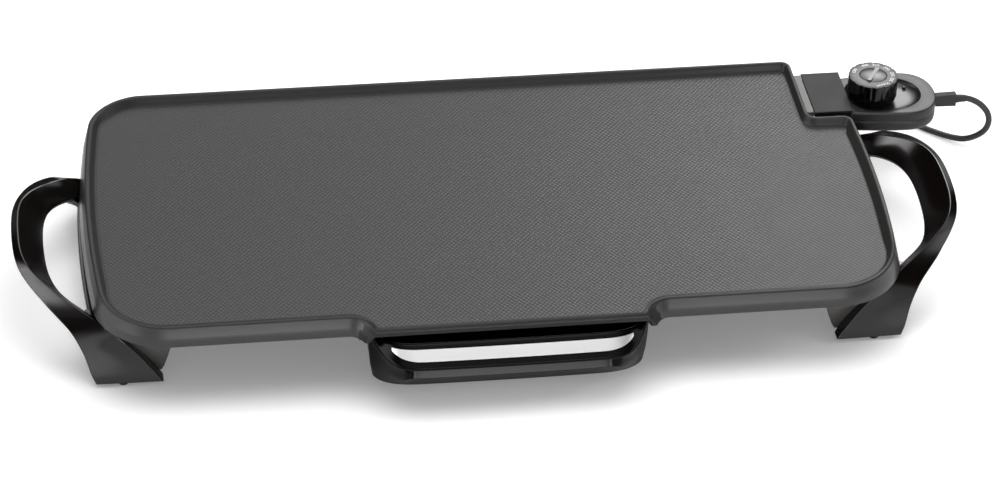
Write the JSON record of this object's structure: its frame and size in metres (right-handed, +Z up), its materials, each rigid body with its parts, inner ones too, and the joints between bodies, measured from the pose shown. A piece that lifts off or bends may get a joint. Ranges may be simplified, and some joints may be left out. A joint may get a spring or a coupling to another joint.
{
  "type": "electric griddle",
  "caption": "Long electric griddle: cast plate with rim and pour spout, wide pull-off handles that form the legs, slide-out drip tray and plug-in heat control with dial and cord.",
  "frame": {"origin": "middle of the griddle without its free cord, on the table under its feet", "axes": "+X to the user's right along the plate, +Y to the back, +Z up"},
  "size_m": [0.7289, 0.3956, 0.0748],
  "materials": {
    "cast_coating": "dark grey non-stick coating, satin border with a finely knurled surface",
    "gloss_black": "polished black phenolic",
    "satin_black": "satin dark grey moulding",
    "soft_black": "matte black rubber",
    "cord_rubber": "dark grey flexible cord sheath",
    "steel": "plain bright steel",
    "badge_steel": "fine satin bright steel",
    "brass": "plain brass",
    "ceramic": "unglazed off-white ceramic",
    "dial_grey": "satin grey top, polished black sides",
    "dial_silver": "spun satin silver",
    "pilot_amber": "dark red translucent lens"
  },
  "bodies": {
    "griddle_body": {"griddle_plate": "cast_coating", "heating_element": "steel", "terminal_pin_front": "steel", "pin_bushing_front": "ceramic", "terminal_pin_rear": "steel", "pin_bushing_rear": "ceramic", "terminal_guard": "satin_black", "terminal_screw_1": "steel", "terminal_screw_2": "steel", "handle_bracket_left": "steel", "handle_clip_left": "steel", "bracket_screw_left_1": "steel", "bracket_screw_left_2": "steel", "handle_bracket_right": "steel", "handle_clip_right": "steel", "bracket_screw_right_1": "steel", "bracket_screw_right_2": "steel", "tray_guide_left": "satin_black", "guide_screw_left_1": "steel", "guide_screw_left_2": "steel", "tray_guide_right": "satin_black", "guide_screw_right_1": "steel", "guide_screw_right_2": "steel"},
    "left_handle": {"left_handle": "gloss_black", "left_front_foot": "soft_black", "left_rear_foot": "soft_black"},
    "right_handle": {"right_handle": "gloss_black", "right_front_foot": "soft_black", "right_rear_foot": "soft_black"},
    "drip_tray": {"drip_tray": "gloss_black", "tray_badge": "badge_steel"},
    "heat_control": {"control_lower_housing": "satin_black", "control_upper_housing": "satin_black", "control_guard": "satin_black", "temperature_probe": "steel", "contact_socket_front": "brass", "contact_socket_rear": "brass", "thermostat_frame": "steel", "contact_blade": "brass", "pilot_lamp": "pilot_amber", "pilot_lens": "pilot_amber", "housing_screw_1": "steel", "housing_screw_2": "steel", "strain_relief": "cord_rubber", "power_cord": "cord_rubber", "cord_coil": "cord_rubber", "cord_tie": "cord_rubber", "cord_plug": "cord_rubber", "plug_blade_a": "brass", "plug_blade_b": "brass"},
    "temperature_dial": {"temperature_dial": "dial_grey", "dial_cap": "dial_silver", "dial_shaft": "steel"}
  },
  "joints": [
    {"name": "left_handle_pull", "type": "slide", "parent": "griddle_body", "child": "left_handle", "axis": [-1, 0, 0], "range_m": [0, 0.02]},
    {"name": "right_handle_pull", "type": "slide", "parent": "griddle_body", "child": "right_handle", "axis": [1, 0, 0], "range_m": [0, 0.02]},
    {"name": "drip_tray_slide", "type": "slide", "parent": "griddle_body", "child": "drip_tray", "axis": [0, -1, 0], "range_m": [0, 0.115]},
    {"name": "heat_control_pull", "type": "slide", "parent": "griddle_body", "child": "heat_control", "axis": [1, 0, 0], "range_m": [0, 0.075]},
    {"name": "temperature_dial_turn", "type": "hinge", "parent": "heat_control", "child": "temperature_dial", "pos_m": [0.28535, 0.1229, 0.057], "axis": [0, 0, 1], "range_deg": [-149, 74]}
  ]
}
